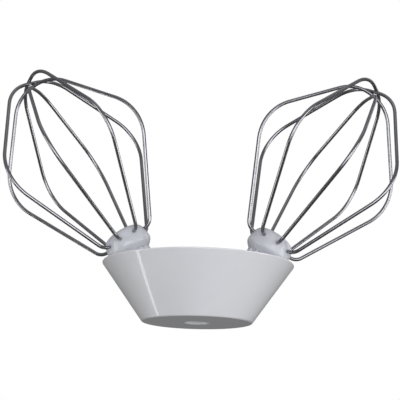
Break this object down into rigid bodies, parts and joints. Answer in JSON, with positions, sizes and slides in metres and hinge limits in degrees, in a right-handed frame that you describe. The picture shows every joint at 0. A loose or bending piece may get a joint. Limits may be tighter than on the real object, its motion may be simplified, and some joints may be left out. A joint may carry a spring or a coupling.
{
  "type": "twin whisk mixer head",
  "caption": "Round conical gear housing with inclined balloon whisks on nylon hubs; a column bore and a drive socket on its axis make the whisks spin as the head turns.",
  "frame": {"origin": "centre of the small end face, on the housing's axis", "axes": "+Z from the small end face towards the wide end and the whisks; +X from the left whisk to the right whisk; -Y is the front"},
  "size_m": [0.2434, 0.116, 0.1543],
  "materials": {
    "white_gloss": "glossy white moulding",
    "white_cover": "satin white moulding",
    "hub_nylon": "milky nylon, slightly see-through",
    "neck_nylon": "milky nylon, slightly see-through",
    "gear_plastic": "natural acetal",
    "washer_plastic": "natural nylon",
    "whisk_wire": "polished stainless wire",
    "stem_steel": "turned stainless",
    "spindle_steel": "turned stainless",
    "spring_steel": "dark spring steel",
    "screw_steel": "stainless",
    "insert_metal": "turned brass",
    "bearing_bronze": "sintered bronze",
    "dark_rubber": "nitrile rubber",
    "grey_rubber": "silicone rubber"
  },
  "bodies": {
    "housing": {"housing_shell": "white_gloss", "gear_cover": "white_cover", "cover_gasket": "grey_rubber", "cover_screws": "screw_steel", "drive_insert": "insert_metal", "sun_bush": "bearing_bronze", "sun_wiper_seal": "dark_rubber", "upper_thrust_washer": "washer_plastic", "lower_thrust_washer": "washer_plastic", "left_pivot_bush": "bearing_bronze", "left_thrust_washer": "washer_plastic", "left_upper_bush": "bearing_bronze", "left_shaft_seal": "dark_rubber", "right_pivot_bush": "bearing_bronze", "right_thrust_washer": "washer_plastic", "right_upper_bush": "bearing_bronze", "right_shaft_seal": "dark_rubber"},
    "sun_gear": {"sun_gear": "gear_plastic", "sun_circlip": "spring_steel"},
    "left_spindle": {"left_spindle": "spindle_steel", "left_pinion": "gear_plastic", "left_spindle_clip": "spring_steel"},
    "left_whisk": {"left_hub_dome": "hub_nylon", "left_hub_neck": "neck_nylon", "left_stem": "stem_steel", "left_stem_o_ring": "dark_rubber", "left_wire_loop_1": "whisk_wire", "left_wire_loop_2": "whisk_wire", "left_wire_loop_3": "whisk_wire", "left_wire_loop_4": "whisk_wire"},
    "right_spindle": {"right_spindle": "spindle_steel", "right_pinion": "gear_plastic", "right_spindle_clip": "spring_steel"},
    "right_whisk": {"right_hub_dome": "hub_nylon", "right_hub_neck": "neck_nylon", "right_stem": "stem_steel", "right_stem_o_ring": "dark_rubber", "right_wire_loop_1": "whisk_wire", "right_wire_loop_2": "whisk_wire", "right_wire_loop_3": "whisk_wire", "right_wire_loop_4": "whisk_wire"}
  },
  "joints": [
    {"name": "sun_gear_spin", "type": "hinge", "parent": "housing", "child": "sun_gear", "pos_m": [0, 0, 0.026], "axis": [0, 0, 1], "continuous": true},
    {"name": "left_spindle_spin", "type": "hinge", "parent": "housing", "child": "left_spindle", "pos_m": [-0.03233, 0, 0.03015], "axis": [-0.5388, 0, 0.8425], "continuous": true},
    {"name": "left_whisk_pull", "type": "slide", "parent": "left_spindle", "child": "left_whisk", "axis": [-0.5388, 0, 0.8425], "range_m": [0, 0.03]},
    {"name": "right_spindle_spin", "type": "hinge", "parent": "housing", "child": "right_spindle", "pos_m": [0.03233, 0, 0.03015], "axis": [0.5388, 0, 0.8425], "continuous": true},
    {"name": "right_whisk_pull", "type": "slide", "parent": "right_spindle", "child": "right_whisk", "axis": [0.5388, 0, 0.8425], "range_m": [0, 0.03]}
  ],
  "couplings": [
    {"joint": "sun_gear_spin", "follows": "left_spindle_spin", "ratio": -0.66667},
    {"joint": "right_spindle_spin", "follows": "left_spindle_spin", "ratio": 1}
  ]
}
